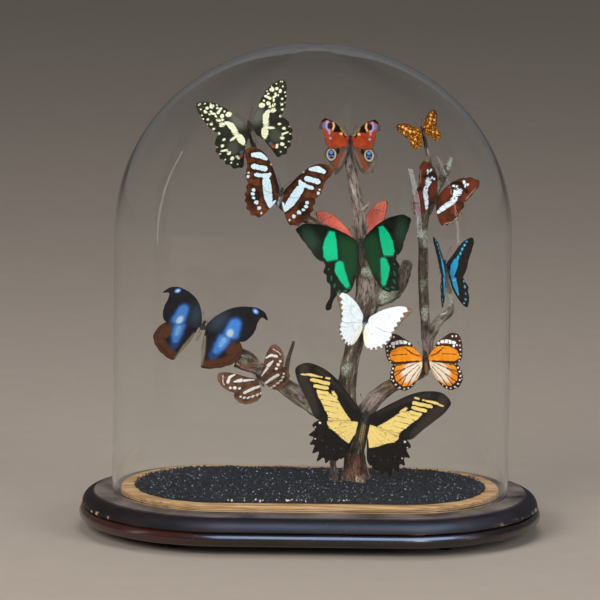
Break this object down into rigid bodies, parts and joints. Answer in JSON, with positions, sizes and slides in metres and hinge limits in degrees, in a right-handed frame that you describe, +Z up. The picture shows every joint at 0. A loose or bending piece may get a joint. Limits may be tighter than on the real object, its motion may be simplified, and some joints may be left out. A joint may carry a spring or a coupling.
{
  "type": "butterfly specimen dome",
  "caption": "Oval glass dome on a moulded dark wood base, covering a bare branch with mounted butterflies on a board of dark grit.",
  "frame": {"origin": "centre of the bounding box in plan, at the plane the feet stand on", "axes": "+Z up, +X to the right seen from the front, the front faces -Y"},
  "size_m": [0.384, 0.2312, 0.41],
  "materials": {
    "polished_wood": "dark french polish, glossy",
    "foot": "stained black",
    "plywood": "bare, sanded edge",
    "grit": "loose dark grit",
    "glass": "clear blown glass",
    "bark": "dry rough bark",
    "lichen_bark": "dry bark with lichen",
    "insect_body": "dry hairy insect body",
    "citrus_wings": "dry wing scales, olive black and cream",
    "barred_wings": "dry wing scales, rusty brown with pale blue bars",
    "peacock_wings": "dry wing scales, red brown with eyespots",
    "chequered_wings": "dry wing scales, orange with dark lattice",
    "whiteband_wings": "dry wing scales, brown with a white band",
    "coral_wings": "dry wing scales, coral red",
    "emerald_wings": "dry wing scales, dark green with an emerald band",
    "bluebottle_wings": "dry wing scales, black brown with a turquoise band",
    "white_wings": "dry wing scales, white with a brown edge",
    "tiger_wings": "dry wing scales, orange with black veins",
    "yellow_wings": "dry wing scales, black with a yellow band",
    "blue_wings": "dry wing scales, blue black with a blue patch",
    "striped_wings": "dry wing scales, brown with white stripes"
  },
  "bodies": {
    "root": {"base_plinth": "polished_wood", "foot_front_left": "foot", "foot_front_right": "foot", "foot_back_left": "foot", "foot_back_right": "foot", "display_board": "plywood", "sand_bed": "grit", "glass_dome": "glass", "trunk": "bark", "prop_root": "bark", "left_limb": "bark", "left_twig": "bark", "left_spur": "bark", "middle_limb": "bark", "upper_left_branch": "bark", "right_limb": "bark", "top_right_twig": "bark", "middle_stub": "lichen_bark", "right_spur": "lichen_bark", "citrus_body": "insect_body", "citrus_left_wings": "citrus_wings", "citrus_right_wings": "citrus_wings", "barred_body": "insect_body", "barred_left_wings": "barred_wings", "barred_right_wings": "barred_wings", "peacock_body": "insect_body", "peacock_left_wings": "peacock_wings", "peacock_right_wings": "peacock_wings", "chequered_body": "insect_body", "chequered_left_wings": "chequered_wings", "chequered_right_wings": "chequered_wings", "whiteband_body": "insect_body", "whiteband_left_wings": "whiteband_wings", "whiteband_right_wings": "whiteband_wings", "coral_body": "insect_body", "coral_left_wings": "coral_wings", "coral_right_wings": "coral_wings", "emerald_body": "insect_body", "emerald_left_wings": "emerald_wings", "emerald_right_wings": "emerald_wings", "bluebottle_body": "insect_body", "bluebottle_left_wings": "bluebottle_wings", "bluebottle_right_wings": "bluebottle_wings", "white_body": "insect_body", "white_left_wings": "white_wings", "white_right_wings": "white_wings", "tiger_body": "insect_body", "tiger_left_wings": "tiger_wings", "tiger_right_wings": "tiger_wings", "yellow_body": "insect_body", "yellow_left_wings": "yellow_wings", "yellow_right_wings": "yellow_wings", "blue_body": "insect_body", "blue_left_wings": "blue_wings", "blue_right_wings": "blue_wings", "striped_body": "insect_body", "striped_left_wings": "striped_wings", "striped_right_wings": "striped_wings"}
  },
  "joints": []
}
